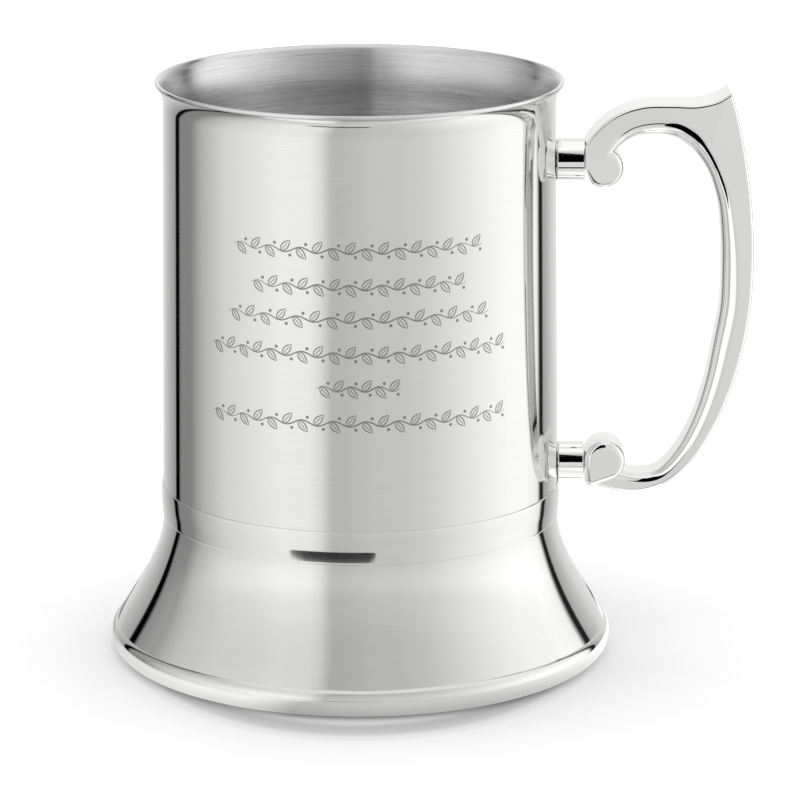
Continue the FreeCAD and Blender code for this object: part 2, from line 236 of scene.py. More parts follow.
def stage_piece(name, points, faces, material, only_mirrored):
    """A floor or card. One that is only mirrored shows in the metal and nowhere else."""
    mesh = bpy.data.meshes.new(name)
    mesh.from_pydata(points, [], faces)
    mesh.materials.append(material)
    piece = bpy.data.objects.new(name, mesh)
    bpy.context.scene.collection.objects.link(piece)
    if only_mirrored:
        piece.visible_camera = False
        piece.visible_diffuse = False
        piece.visible_shadow = False
    return piece


FLOOR_R = 1.6             # radius of the floor
TABLE_R = 0.080           # radius of the patch of table that the foot mirrors
FLOOR_DROP = 0.00005       # keeps the floor clear of the foot
SHADE_NARROW = 1.3        # the soft shade under the foot is narrower to the sides


def floor_shade(g, place):
    """Soft shade on the floor round the foot, longest towards the front."""
    split = g.node("ShaderNodeSeparateXYZ")
    g.put(place, split.inputs[0])
    x = g.math("MULTIPLY", split.outputs[0], SHADE_NARROW)
    square = g.math("MULTIPLY", x, x)
    square = g.math("MULTIPLY_ADD", split.outputs[1], split.outputs[1], square)
    reach = g.math("MULTIPLY", g.math("SQRT", square), 10.0)
    return g.ramp(reach, [(0.54, 0.82), (0.58, 0.56), (0.61, 0.62), (0.645, 0.86), (0.68, 0.96),
                          (0.77, 0.99), (0.90, 1.0)], "EASE")


def floor_material():
    material = bpy.data.materials.new("pale_floor")
    material.use_nodes = True
    g = Graph(material.node_tree)
    shader = material.node_tree.nodes["Principled BSDF"]
    place = g.node("ShaderNodeTexCoord").outputs["Object"]
    tone = g.ramp(noise(g, place, 30), [(0.3, 0.88), (0.7, 0.9)])
    shade = floor_shade(g, place)
    g.put(g.math("MULTIPLY", tone, shade), shader.inputs["Base Color"])
    shader.inputs["Roughness"].default_value = 0.9
    shader.inputs["Specular IOR Level"].default_value = 0.0
    return material


def table_level(g, place):
    """Light that the table near the foot sends into the metal: the studio's, shaded."""
    reach = g.node("ShaderNodeVectorMath", operation="LENGTH")
    g.put(place, reach.inputs[0])
    tenths = g.math("MULTIPLY", reach.outputs["Value"], 10.0)
    shade = g.ramp(tenths, [(0.50, 0.60), (0.55, 0.88), (0.62, 1.0), (0.80, 1.0)])
    along = g.node("ShaderNodeVectorMath", operation="NORMALIZE")
    g.put(place, along.inputs[0])
    return g.math("MULTIPLY", shade, studio_level(g, along.outputs[0]))


def disc(name, radius, z, material, only_mirrored):
    count = 96
    turns = [2 * math.pi * i / count for i in range(count)]
    points = [(radius * math.cos(t), radius * math.sin(t), z) for t in turns]
    return stage_piece(name, points, [tuple(range(count))], material, only_mirrored)


def make_floor():
    """The floor that the camera sees, and the patch of it that the metal mirrors."""
    z = CAD_LOW.z - FLOOR_DROP
    disc("floor", FLOOR_R, z, floor_material(), False).visible_glossy = False
    disc("table_patch", TABLE_R, z, glow("table_patch", table_level, False), True)


def glow(name, level, by_direction=True):
    """An emission material whose level is built from the direction or the place."""
    material = bpy.data.materials.new(name)
    material.use_nodes = True
    g = Graph(material.node_tree)
    material.node_tree.nodes.clear()
    emission = g.node("ShaderNodeEmission")
    place = g.node("ShaderNodeTexCoord").outputs["Object"]
    if by_direction:
        along = g.node("ShaderNodeVectorMath", operation="NORMALIZE")
        g.put(place, along.inputs[0])
        place = along.outputs[0]
    g.put(level(g, place), emission.inputs["Color"])
    output = g.node("ShaderNodeOutputMaterial")
    g.put(emission.outputs[0], output.inputs["Surface"])
    return material


def sky_card(name, azimuths, elevations, material):
    """A curved card that fills a window of directions round the object."""
    steps = 12
    points = []
    for i in range(steps + 1):
        a = math.radians(azimuths[0] + (azimuths[1] - azimuths[0]) * i / steps)
        for j in range(steps + 1):
            e = math.radians(elevations[0] + (elevations[1] - elevations[0]) * j / steps)
            flat = STUDIO * math.cos(e)
            points.append((flat * math.sin(a), -flat * math.cos(a), STUDIO * math.sin(e)))
    row = steps + 1
    faces = []
    for i in range(steps):
        for j in range(steps):
            k = i * row + j
            faces.append((k, k + row, k + row + 1, k + 1))
    return stage_piece(name, points, faces, material, True)


def shine_only_on(card, pieces):
    """The card lights these pieces. In every other piece it mirrors as black."""
    receivers = bpy.data.collections.new(card.name + "_receivers")
    card.light_linking.receiver_collection = receivers
    for piece in pieces:
        receivers.objects.link(piece)


def make_gap():
    """A dark curved bar with tapered ends in front of the foot, which only shows in the metal."""
    start, end = GAP_AZIMUTHS
    steps = 42
    near = []
    far = []
    for i in range(steps + 1):
        degrees = start + (end - start) * i / steps
        share = min((degrees - start) / GAP_TAPERS[0], (end - degrees) / GAP_TAPERS[1], 1.0)
        half = GAP_HALF * math.sqrt(share)
        a = math.radians(degrees)
        for row, radius in ((near, GAP_R - half), (far, GAP_R + half)):
            row.append((radius * math.sin(a), -radius * math.cos(a), CAD_LOW.z))
    faces = [(i, i + 1, steps + i + 2, steps + i + 1) for i in range(steps)]
    dark = glow("table_gap", lambda g, place: (GAP_LEVEL, GAP_LEVEL, GAP_LEVEL, 1), False)
    stage_piece("table_gap", near + far, faces, dark, True)


def make_flags(cup):
    """Black flags that only the handle and its spacers mirror."""
    for name, azimuths, elevations in FLAGS:
        card = sky_card(name, azimuths, elevations, glow(name, studio_level))
        shine_only_on(card, cup)


# ---- materials ------------------------------------------------------------------------
def round_grain(g, along, across):
    """Coordinates stretched round the cup's axis: long streaks along, fine ones across."""
    place = g.node("ShaderNodeTexCoord").outputs["Object"]
    split = g.node("ShaderNodeSeparateXYZ")
    g.put(place, split.inputs[0])
    x = g.math("MULTIPLY", split.outputs[0], along)
    y = g.math("MULTIPLY", split.outputs[1], along)
    square = g.math("MULTIPLY", split.outputs[0], split.outputs[0])
    square = g.math("MULTIPLY_ADD", split.outputs[1], split.outputs[1], square)
    radius = g.math("SQRT", square)
    drop = g.math("SUBTRACT", split.outputs[2], radius)
    z = g.math("MULTIPLY", drop, across)
    join = g.node("ShaderNodeCombineXYZ")
    g.put(x, join.inputs[0])
    g.put(y, join.inputs[1])
    g.put(z, join.inputs[2])
    return join.outputs[0]


def noise(g, vector, scale, detail=2.0, roughness=0.5):
    made = g.node("ShaderNodeTexNoise")
    made.inputs["Scale"].default_value = scale
    made.inputs["Detail"].default_value = detail
    made.inputs["Roughness"].default_value = roughness
    g.put(vector, made.inputs["Vector"])
    return made.outputs["Fac"]


STEEL = (1.0, 0.998, 0.99)
BRUSH_TURN = 0.25         # the brushing runs round the cup


def metal(name, roughness, anisotropy=0.0):
    """A bare metal material with its graph and shader to build on."""
    material = bpy.data.materials.new(name)
    material.use_nodes = True
    g = Graph(material.node_tree)
    shader = material.node_tree.nodes["Principled BSDF"]
    shader.inputs["Metallic"].default_value = 1.0
    shader.inputs["Base Color"].default_value = (*STEEL, 1)
    shader.inputs["Roughness"].default_value = roughness
    if anisotropy:
        shader.inputs["Anisotropic"].default_value = anisotropy
        shader.inputs["Anisotropic Rotation"].default_value = BRUSH_TURN
        tangent = g.node("ShaderNodeTangent", direction_type="RADIAL", axis="Z")
        g.put(tangent.outputs[0], shader.inputs["Tangent"])
    return material, g, shader


def bump(g, height, strength, distance, shader):
    made = g.node("ShaderNodeBump")
    made.inputs["Strength"].default_value = strength
    made.inputs["Distance"].default_value = distance
    g.put(height, made.inputs["Height"])
    g.put(made.outputs[0], shader.inputs["Normal"])


def tinted(g, factor, low, high, shader):
    """Base colour that moves between two levels of the steel's tint."""
    a = tuple(c * low for c in STEEL) + (1,)
    b = tuple(c * high for c in STEEL) + (1,)
    g.put(g.mix(factor, a, b), shader.inputs["Base Color"])


def polished_steel():
    material, g, shader = metal("polished_steel", 0.06, 0.7)
    fine = noise(g, round_grain(g, 90, 5000), 1.0, 3.0, 0.6)
    cloud = noise(g, round_grain(g, 25, 25), 1.0, 2.0)
    tinted(g, fine, 0.665, 0.735, shader)
    level = g.ramp(cloud, [(0.3, 0.05), (0.7, 0.075)])
    g.put(level, shader.inputs["Roughness"])
    bump(g, fine, 0.02, 0.00001, shader)
    return material


LIP_POLISH_Z = 0.1243     # the brushing starts below this height, in metres
LIP_POLISH_FADE = 0.0005
LIP_TONE = 0.70
LIP_ROUGHNESS = 0.20
DEEP_FROM = 0.1165        # painted light: the colour of the deeper part of the cup is brighter
DEEP_FADE = 0.005
DEEP_PAINTED_LIGHT = 0.4
STREAK_DARK = 0.68        # level of the dark streaks, as a share of the bright ones


def brushed_steel():
    """Polished on the lip, brushed round and round inside. Inside, its colour holds painted light
    and shade: lighter and darker sectors round the cup, and painted light deeper down.
    """
    material, g, shader = metal("brushed_steel", 0.3, 0.75)
    fine = noise(g, round_grain(g, 70, 5000), 1.0, 3.0, 0.75)
    broad = noise(g, round_grain(g, 30, 1400), 1.0, 2.0, 0.5)
    streak = g.blend(0.12, fine, broad)
    # shine is painted light and shade: the colour's level by azimuth round the cup
    shine = painted_sheen_sectors(g)
    dark = g.math("MULTIPLY", shine, STREAK_DARK)
    level = g.blend(g.ramp(streak, [(0.32, 0.0), (0.68, 1.0)]), dark, shine)
    place = g.node("ShaderNodeTexCoord").outputs["Object"]
    split = g.node("ShaderNodeSeparateXYZ")
    g.put(place, split.inputs[0])
    height = g.math("SUBTRACT", split.outputs[2], LIP_POLISH_Z)
    lip = g.math("MULTIPLY_ADD", height, 1 / LIP_POLISH_FADE, 0.5, clamp=True)
    # Painted light: the colour grows brighter deeper in the cup.
    below = g.math("SUBTRACT", DEEP_FROM, split.outputs[2])
    depth = g.math("MULTIPLY", below, 1 / DEEP_FADE, clamp=True)
    level = g.math("MULTIPLY", level, g.math("MULTIPLY_ADD", depth, DEEP_PAINTED_LIGHT, 1.0), clamp=True)
    g.put(g.blend(lip, level, LIP_TONE), shader.inputs["Base Color"])
    rough = g.ramp(streak, [(0.3, 0.24), (0.7, 0.36)])
    g.put(g.blend(lip, rough, LIP_ROUGHNESS), shader.inputs["Roughness"])
    bump(g, streak, 0.2, 0.00004, shader)
    return material


# Painted light and shade in the brushed inside's colour, standing in for the light and dark sectors
# that a brushed bowl mirrors: (azimuth in degrees, level).
PAINTED_SHEEN_SECTORS = [
    (-180, 0.42), (-174, 0.46), (-165, 0.58), (-150, 0.72), (-135, 0.80), (-122, 0.80), (-112, 0.60),
    (-100, 0.62), (-80, 0.60), (0, 0.65), (80, 0.60), (105, 0.85), (120, 0.95), (135, 0.88),
    (150, 0.80), (160, 0.78), (175, 0.68), (177.5, 0.46), (180, 0.42),
]


# Painted light and shade: the level of the inside's colour, lighter and darker by azimuth.
def painted_sheen_sectors(g):
    split = g.node("ShaderNodeSeparateXYZ")
    g.put(g.node("ShaderNodeTexCoord").outputs["Object"], split.inputs[0])
    return g.ramp(turn_of(g, split), by_azimuth(PAINTED_SHEEN_SECTORS))


def satin_plate():
    material, g, shader = metal("satin_plate", 0.35, 0.5)
    fine = noise(g, round_grain(g, 60, 4000), 1.0, 3.0, 0.6)
    tinted(g, fine, 0.5, 0.68, shader)
    level = g.ramp(fine, [(0.3, 0.28), (0.7, 0.42)])
    g.put(level, shader.inputs["Roughness"])
    bump(g, fine, 0.15, 0.00003, shader)
    return material


def plated(name, low, high, roughness):
    material, g, shader = metal(name, roughness)
    place = g.node("ShaderNodeTexCoord").outputs["Object"]
    cloud = noise(g, place, 60, 2.0)
    fine = noise(g, place, 900, 2.0)
    tinted(g, cloud, low, high, shader)
    level = g.ramp(fine, [(0.3, roughness * 0.8), (0.7, roughness * 1.3)])
    g.put(level, shader.inputs["Roughness"])
    return material


def engraved_steel():
    """Cut lines: matt and darker than the wall round them."""
    material, g, shader = metal("engraved_steel", 0.45)
    place = g.node("ShaderNodeTexCoord").outputs["Object"]
    fine = noise(g, place, 2200, 3.0)
    tinted(g, fine, 0.20, 0.34, shader)
    level = g.ramp(fine, [(0.3, 0.38), (0.7, 0.55)])
    g.put(level, shader.inputs["Roughness"])
    return material


def plain_steel():
    material, g, shader = metal("plain_steel", 0.35)
    place = g.node("ShaderNodeTexCoord").outputs["Object"]
    fine = noise(g, place, 1500, 3.0)
    tinted(g, fine, 0.45, 0.6, shader)
    bump(g, fine, 0.1, 0.00003, shader)
    return material


def dress(node, material):
    mesh = NODES[node].data
    mesh.materials.clear()
    mesh.materials.append(material)


# ---- turned sheets --------------------------------------------------------------------
# The three turned sheets again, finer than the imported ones, in millimetres. Points of a
# profile are (radius, height).
WALL_TOP = (41.65, 119.85)
WALL_LOW = (42.63, 37.35)
SHELL_T = 0.45
LINER_T = 0.5
NEST = 0.02
FLARE_R = 6.4
SEAM_DEG = 40.4
SEAM_GAP_DEG = 0.3
LIP_DEG = 41.7
LIP_BULGE = 4.2
CURL_DEG = 30.0
BEND_DROP = 3.3
BEND_RUN = 5.3
TAPER_DEG = 1.6
CUP_FLOOR = 24.0
CUP_CORNER = 7.0
NECK = (41.95, 31.5)      # lower end of the shell, inside the collar
SKIRT_T = 0.7
COLLAR_R = NECK[0] + 0.05
COLLAR_TOP = 37.36
BEAD_TOP = (42.75, 37.21)     # centre of the bead's upper edge
BEAD_EDGE_R = 0.15
BEAD_FACET = (42.93, 33.0)
BEAD_FACET_LOW = (42.79, 30.7)
BEAD_LOW = (42.62, 30.2)
CREASE = (52.88, 6.35)        # where the skirt meets its rolled edge
INNER_CREASE = (52.13, 6.0)
FOOT = (54.15, 3.5)           # widest point of the roll
ROLL_IN_R = 47.9              # inner end of the roll
ROLL_IN_Z = 3.2
TILT = math.atan((WALL_LOW[0] - WALL_TOP[0]) / (WALL_TOP[1] - WALL_LOW[1]))
TURNS = 360               # steps round each lathe piece


def straight(a, b):
    """A line with extra points near its ends, so that its shading stays straight."""
    return [(a[0] + (b[0] - a[0]) * t, a[1] + (b[1] - a[1]) * t) for t in (0, 0.02, 0.5, 0.98, 1)]


def curve(count, *poles):
    """Points of a Bezier curve."""
    points = []
    for i in range(count + 1):
        t = i / count
        level = list(poles)
        while len(level) > 1:
            pairs = zip(level, level[1:])
            level = [(a[0] + (b[0] - a[0]) * t, a[1] + (b[1] - a[1]) * t) for a, b in pairs]
        points.append(level[0])
    return points


def round_arc(centre, radius, start, end, count):
    """Points of a circular arc between two angles in degrees."""
    points = []
    for i in range(count + 1):
        a = math.radians(start + (end - start) * i / count)
        points.append((centre[0] + radius * math.cos(a), centre[1] + radius * math.sin(a)))
    return points


FLARE_CENTRE = (WALL_TOP[0] + FLARE_R * math.cos(TILT), WALL_TOP[1] + FLARE_R * math.sin(TILT))


def flare(radius, start, end, count):
    """Part of the lip's curl; 0 degrees is where it leaves the wall."""
    return round_arc(FLARE_CENTRE, radius, 180 - start, 180 - end, count)


def lathe(name, profile, node, material):
    """A closed profile turned round the cup's axis."""
    clean = []
    for point in profile:
        if not clean or math.dist(point, clean[-1]) > 1e-5:
            clean.append(point)
    if math.dist(clean[0], clean[-1]) < 1e-5:
        clean.pop()
    rows = len(clean)
    points = []
    for i in range(TURNS):
        a = 2 * math.pi * i / TURNS
        points += [(r * MM * math.cos(a), r * MM * math.sin(a), z * MM) for r, z in clean]
    faces = []
    for i in range(TURNS):
        here = i * rows
        there = (i + 1) % TURNS * rows
        for j in range(rows):
            k = (j + 1) % rows
            faces.append((here + j, there + j, there + k, here + k))
    return add_piece(name, points, faces, node, material, True)


SAME_POINT = 1e-7         # points nearer than this are one, in metres
SHARP_DEG = 28            # edges that turn by more than this stay sharp


def mesh_object(name, points, faces):
    """A mesh in the scene with its double points joined and its faces turned outward."""
    mesh = bpy.data.meshes.new(name)
    mesh.from_pydata(points, [], faces)
    tidy = bmesh.new()
    tidy.from_mesh(mesh)
    bmesh.ops.remove_doubles(tidy, verts=tidy.verts, dist=SAME_POINT)
    bmesh.ops.recalc_face_normals(tidy, faces=tidy.faces)
    tidy.to_mesh(mesh)
    tidy.free()
    made = bpy.data.objects.new(name, mesh)
    bpy.context.scene.collection.objects.link(made)
    return made


def add_piece(name, points, faces, node, material, replaces):
    """A piece that rides on the frame with the given material; one that replaces a CAD node hides
    that node.
    """
    piece = mesh_object(name, points, faces)
    piece.data.shade_smooth()
    piece.data.set_sharp_from_angle(angle=math.radians(SHARP_DEG))
    piece.data.materials.append(material)
    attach(piece, "root")
    if replaces:
        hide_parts(node)
    return piece


def shell_profile():
    tilt = math.degrees(TILT)
    inner = FLARE_R + SHELL_T
    neck_in = NECK[0] - SHELL_T
    low_in = WALL_LOW[0] - SHELL_T
    step = WALL_LOW[1] + SHELL_T
    outside = flare(FLARE_R, -tilt, SEAM_DEG, 24)
    inside = flare(inner, SEAM_DEG, -tilt, 24)
    profile = straight((neck_in, NECK[1]), NECK)
    profile += straight(NECK, (NECK[0], WALL_LOW[1]))
    profile += straight((NECK[0], WALL_LOW[1]), WALL_LOW)
    profile += straight(WALL_LOW, outside[0]) + outside
    profile += inside + straight(inside[-1], (low_in, step))
    profile += straight((low_in, step), (neck_in, step))
    return profile + straight((neck_in, step), (neck_in, NECK[1]))


def liner_bend(radius, offset):
    """End of the curl, pole of the bend and start of the wall, for one face of the liner."""
    curl = math.radians(CURL_DEG)
    taper = math.radians(TAPER_DEG)
    start = flare(radius, CURL_DEG, CURL_DEG, 1)[0]
    inner = flare(FLARE_R + SHELL_T + NEST + LINER_T, CURL_DEG, CURL_DEG, 1)[0]
    corner = 1 + math.cos(curl - taper)
    pole_r = inner[0] - BEND_DROP * math.tan(curl)
    pole_r += offset * (math.cos(curl) + math.cos(taper)) / corner
    pole_z = inner[1] - BEND_DROP - offset * (math.sin(curl) + math.sin(taper)) / corner
    return start, (pole_r, pole_z), (pole_r - BEND_RUN * math.tan(taper), pole_z - BEND_RUN)


def liner_profile():
    outer = FLARE_R + SHELL_T + NEST
    inner = outer + LINER_T
    seam = SEAM_DEG + SEAM_GAP_DEG
    curl_in, pole_in, wall_in = liner_bend(inner, 0)
    curl_out, pole_out, wall_out = liner_bend(outer, LINER_T)
    corner_z = CUP_FLOOR + CUP_CORNER
    wall_r = wall_in[0] - (wall_in[1] - corner_z) * math.tan(math.radians(TAPER_DEG))
    corner = (wall_r - CUP_CORNER, corner_z)
    edge_mid = (inner + FLARE_R) / 2
    edge_low = flare(FLARE_R, LIP_DEG, LIP_DEG, 1)[0]
    edge_high = flare(inner, LIP_DEG, LIP_DEG, 1)[0]
    nose = flare(edge_mid, LIP_DEG + LIP_BULGE, LIP_DEG + LIP_BULGE, 1)[0]
    pole = tuple(2 * n - (low + high) / 2 for n, low, high in zip(nose, edge_low, edge_high))
    profile = [flare(outer, seam, seam, 1)[0]]
    profile += flare(FLARE_R, seam, LIP_DEG, 3)
    profile += curve(14, edge_low, pole, edge_high)
    profile += flare(inner, LIP_DEG, CURL_DEG, 8)
    profile += curve(20, curl_in, pole_in, wall_in)
    profile += straight(wall_in, (wall_r, corner_z))
    profile += round_arc(corner, CUP_CORNER, 0, -90, 16)
    profile += [(0, CUP_FLOOR), (0, CUP_FLOOR - LINER_T)]
    profile += round_arc(corner, CUP_CORNER + LINER_T, -90, 0, 16)
    profile += straight((wall_r + LINER_T, corner_z), wall_out)
    profile += curve(20, wall_out, pole_out, curl_out)
    return profile + flare(outer, CURL_DEG, seam, 8)


def skirt_profile():
    top_r = BEAD_TOP[0] + BEAD_EDGE_R
    inner_foot = (FOOT[0] - SKIRT_T, FOOT[1])
    hem_r = ROLL_IN_R + SKIRT_T
    profile = straight((COLLAR_R, COLLAR_TOP), (BEAD_TOP[0], COLLAR_TOP))
    profile += round_arc(BEAD_TOP, BEAD_EDGE_R, 90, 0, 5)
    profile += curve(10, (top_r, BEAD_TOP[1]), (42.99, 36.2), (42.99, 34.2), BEAD_FACET)
    profile += straight(BEAD_FACET, BEAD_FACET_LOW)
    profile += curve(8, BEAD_FACET_LOW, (42.77, 30.4), (42.72, 30.25), BEAD_LOW)
    profile += curve(60, BEAD_LOW, (42.7, 21.6), (48.73, 13.54), CREASE)
    profile += curve(12, CREASE, (53.65, 5.95), (FOOT[0], 5.1), FOOT)
    profile += curve(16, FOOT, (FOOT[0], 1.2), (52.4, 0), (49.6, 0))
    profile += [(48.5, 0)] + curve(5, (48.5, 0), (48.0, 0.05), (ROLL_IN_R, 0.6))
    profile += [(ROLL_IN_R, ROLL_IN_Z), (hem_r, ROLL_IN_Z), (hem_r, 1.1)]
    profile += curve(12, (hem_r, 1.1), (49.2, 0.5), (53.3, 0.3), inner_foot)
    profile += curve(10, inner_foot, (inner_foot[0], 4.8), (52.9, 5.5), INNER_CREASE)
    profile += curve(40, INNER_CREASE, (48.0, 13.2), (42.0, 21.6), (COLLAR_R, 29.9))
    return profile + [(COLLAR_R, COLLAR_TOP)]


# ---- handle ---------------------------------------------------------------------------
# Stations of the two limbs in millimetres: outer x, outer z, inner x, inner z, half
# thickness, and the rounding of the inner side.
THUMB_TIP = (78.4, 122.8, 73.9, 105.6, 6.2, 4.0)
UPPER_LIMB = [
    (47.3, 106.2, 52.4, 106.0, 4.7, 1.4), (47.4, 108.6, 53.0, 107.9, 4.7, 1.5),
    (48.0, 111.5, 54.0, 109.8, 4.8, 1.7), (50.4, 114.9, 55.6, 111.5, 4.9, 2.2),
    (54.4, 118.0, 57.9, 112.8, 5.1, 2.8), (60.0, 119.9, 61.0, 113.4, 5.4, 3.4),
    (66.0, 120.15, 64.7, 113.3, 5.7, 3.8), (72.0, 120.2, 68.6, 111.8, 6.0, 4.0),
    (76.0, 121.3, 71.7, 109.0, 6.15, 4.0), (77.2, 122.0, 73.1, 107.0, 6.2, 4.0), THUMB_TIP,
]
LOWER_LIMB = [
    THUMB_TIP, (79.4, 119.6, 74.6, 104.0, 6.2, 4.0), (80.4, 115.6, 75.2, 102.2, 6.2, 4.0),
    (82.0, 107.4, 76.3, 98.0, 6.2, 4.0), (83.3, 97.5, 77.0, 91.0, 6.2, 4.0),
    (83.8, 86.5, 77.2, 83.5, 6.2, 3.9), (83.4, 76.5, 77.0, 76.0, 6.1, 3.7),
    (81.9, 66.8, 75.7, 68.0, 6.0, 3.4), (79.3, 57.6, 74.1, 59.4, 5.8, 3.0),
    (75.6, 48.8, 71.5, 51.0, 5.5, 2.6), (71.0, 41.6, 68.1, 44.3, 5.2, 2.2),
    (65.4, 37.0, 64.1, 40.0, 4.9, 1.9), (59.8, 35.3, 60.2, 39.15, 4.8, 1.7),
    (55.0, 35.6, 56.2, 39.75, 4.7, 1.6), (50.9, 36.8, 52.8, 40.5, 4.7, 1.5),
]
TOP_EDGE = 0.5            # rounding of the outer edges of the upper limb
SPINE_EDGE = 0.85         # and of the lower limb
UPPER_SCROLL = (51.75, 106.4, 4.2, 4.7, 1.15)   # centre, radius, half thickness, edge
LOWER_SCROLL = (52.7, 42.2, 4.4, 5.2, 1.3)
LOWER_TOE = (49.9, 38.05, 1.45)                 # centre, radius
UPPER_CUT_DEG = 230       # where the upper scroll leaves its circle towards the seat
UPPER_TAIL = 5.0
UPPER_BACK = 6.0
UPPER_SEAT_X = 47.8       # flat faces that sit on the spacers
LOWER_SEAT_X = 48.2
LIMB_STEPS = 8            # sections from one station to the next
RIM_STEPS = 8             # loops round the rim of a scroll
RIM_INSET = 0.15          # the flat face starts this far inside its rim


def limb_section(station, edge):
    """Rounded section between the outer and inner outline, as points in millimetres."""
    outer_x, outer_z, inner_x, inner_z, half, big = station
    length = math.hypot(outer_x - inner_x, outer_z - inner_z)
    along = ((outer_x - inner_x) / length, (outer_z - inner_z) / length)
    flat = straight((0, half - big), (0, big - half))
    flat += round_arc((big, big - half), big, 180, 270, 12)
    flat += straight((big, -half), (length - edge, -half))
    flat += round_arc((length - edge, edge - half), edge, 270, 360, 8)
    flat += straight((length, edge - half), (length, half - edge))
    flat += round_arc((length - edge, half - edge), edge, 0, 90, 8)
    flat += straight((length - edge, half), (big, half))
    flat += round_arc((big, half - big), big, 90, 180, 12)
    clean = [q for q, last in zip(flat, flat[-1:] + flat[:-1]) if math.dist(q, last) > 1e-6]
    return [(inner_x + along[0] * u, v, inner_z + along[1] * u) for u, v in clean]


def pace(before, here, p, q, r):
    """Slope at q of a smooth curve through p, q and r, over the stretch of length here."""
    return here * ((q - p) / before * here + (r - q) / here * before) / (before + here)


def between(stations):
    """Stations filled in along a smooth curve through the given ones."""
    filled = []
    for i in range(len(stations) - 1):
        a = stations[max(i - 1, 0)]
        b = stations[i]
        c = stations[i + 1]
        d = stations[min(i + 2, len(stations) - 1)]
        here = math.dist(b[:2], c[:2])
        before = math.dist(a[:2], b[:2]) or here
        after = math.dist(c[:2], d[:2]) or here
        for k in range(LIMB_STEPS):
            t = k / LIMB_STEPS
            row = []
            for p, q, r, s in zip(a, b, c, d):
                start = pace(before, here, p, q, r)
                end = -pace(after, here, s, r, q)
                row.append((2 * t ** 3 - 3 * t ** 2 + 1) * q + (t ** 3 - 2 * t ** 2 + t) * start
                           + (3 * t ** 2 - 2 * t ** 3) * r + (t ** 3 - t ** 2) * end)
            filled.append(tuple(row))
    return filled + [stations[-1]]


def shell_object(loops, seat_x):
    """Closed loops joined into a capped tube, cut flat at the seat of the ferrule."""
    size = len(loops[0])
    points = [(max(x, seat_x) * MM, y * MM, z * MM) for loop in loops for x, y, z in loop]
    faces = [tuple(range(size)), tuple(range(len(points) - size, len(points)))]
    for i in range(len(loops) - 1):
        for j in range(size):
            a = i * size
            k = (j + 1) % size
            faces.append((a + j, a + k, a + size + k, a + size + j))
    return mesh_object("shell", points, faces)


def fused(shells):
    """Points and faces of the one skin round all the shells, which are used up."""
    for other in shells[1:]:
        join = shells[0].modifiers.new("join", "BOOLEAN")
        join.operation = "UNION"
        join.solver = "EXACT"
        join.object = other
    settled = shells[0].evaluated_get(bpy.context.evaluated_depsgraph_get())
    mesh = bpy.data.meshes.new_from_object(settled)
    points = [tuple(v.co) for v in mesh.vertices]
    faces = [tuple(p.vertices) for p in mesh.polygons]
    for shell in shells:
        bpy.data.objects.remove(shell)
    return points, faces


def slab_loops(outline, half, edge):
    """Loops of a slab with rounded rims; the outline is (point, outward normal) pairs."""
    levels = [(edge + RIM_INSET, -half)]
    for i in range(RIM_STEPS + 1):
        a = math.pi / 2 * i / RIM_STEPS
        levels.append((edge * (1 - math.sin(a)), edge - half - edge * math.cos(a)))
    levels += [(inset, -y) for inset, y in reversed(levels)]
    loops = []
    for inset, y in levels:
        loops.append([(q[0] - n[0] * inset, y, q[1] - n[1] * inset) for q, n in outline])
    return loops


def outline_arc(centre, radius, start, end, count):
    """Points of an arc with their outward normals."""
    normals = round_arc((0, 0), 1.0, start, end, count)
    return [((centre[0] + radius * n[0], centre[1] + radius * n[1]), n) for n in normals]


def upper_scroll():
    """A round that runs on into the flat seat beside the upper spacer."""
    x, z, radius, half, edge = UPPER_SCROLL
    outline = outline_arc((x, z), radius, UPPER_CUT_DEG, 450, 48)
    low, normal = outline[0]
    tail = (low[0] + normal[1] * UPPER_TAIL, low[1] - normal[0] * UPPER_TAIL)
    outline.append(((x - UPPER_BACK, z + radius), (0, 1)))
    outline.append((tail, normal))
    return slab_loops(outline, half, edge)


def lower_scroll():
    """A drop shape: a large round with a small toe towards the wall."""
    x, z, radius, half, edge = LOWER_SCROLL
    toe_x, toe_z, toe_r = LOWER_TOE
    heading = math.degrees(math.atan2(toe_z - z, toe_x - x))
    spread = math.degrees(math.acos((radius - toe_r) / math.hypot(toe_x - x, toe_z - z)))
    outline = outline_arc((x, z), radius, heading + spread, heading + 360 - spread, 48)
    outline += outline_arc((toe_x, toe_z), toe_r, heading - spread, heading + spread, 16)
    return slab_loops(outline, half, edge)


def scroll_handle(material):
    """The handle again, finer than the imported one: two limbs and two scrolls."""
    upper = [limb_section(s, TOP_EDGE) for s in between(UPPER_LIMB)]
    lower = [limb_section(s, SPINE_EDGE) for s in between(LOWER_LIMB)]
    points, faces = fused([
        shell_object(upper, UPPER_SEAT_X), shell_object(lower, LOWER_SEAT_X),
        shell_object(upper_scroll(), UPPER_SEAT_X), shell_object(lower_scroll(), LOWER_SEAT_X),
    ])
    return add_piece("scroll_handle", points, faces, "handle", material, True)


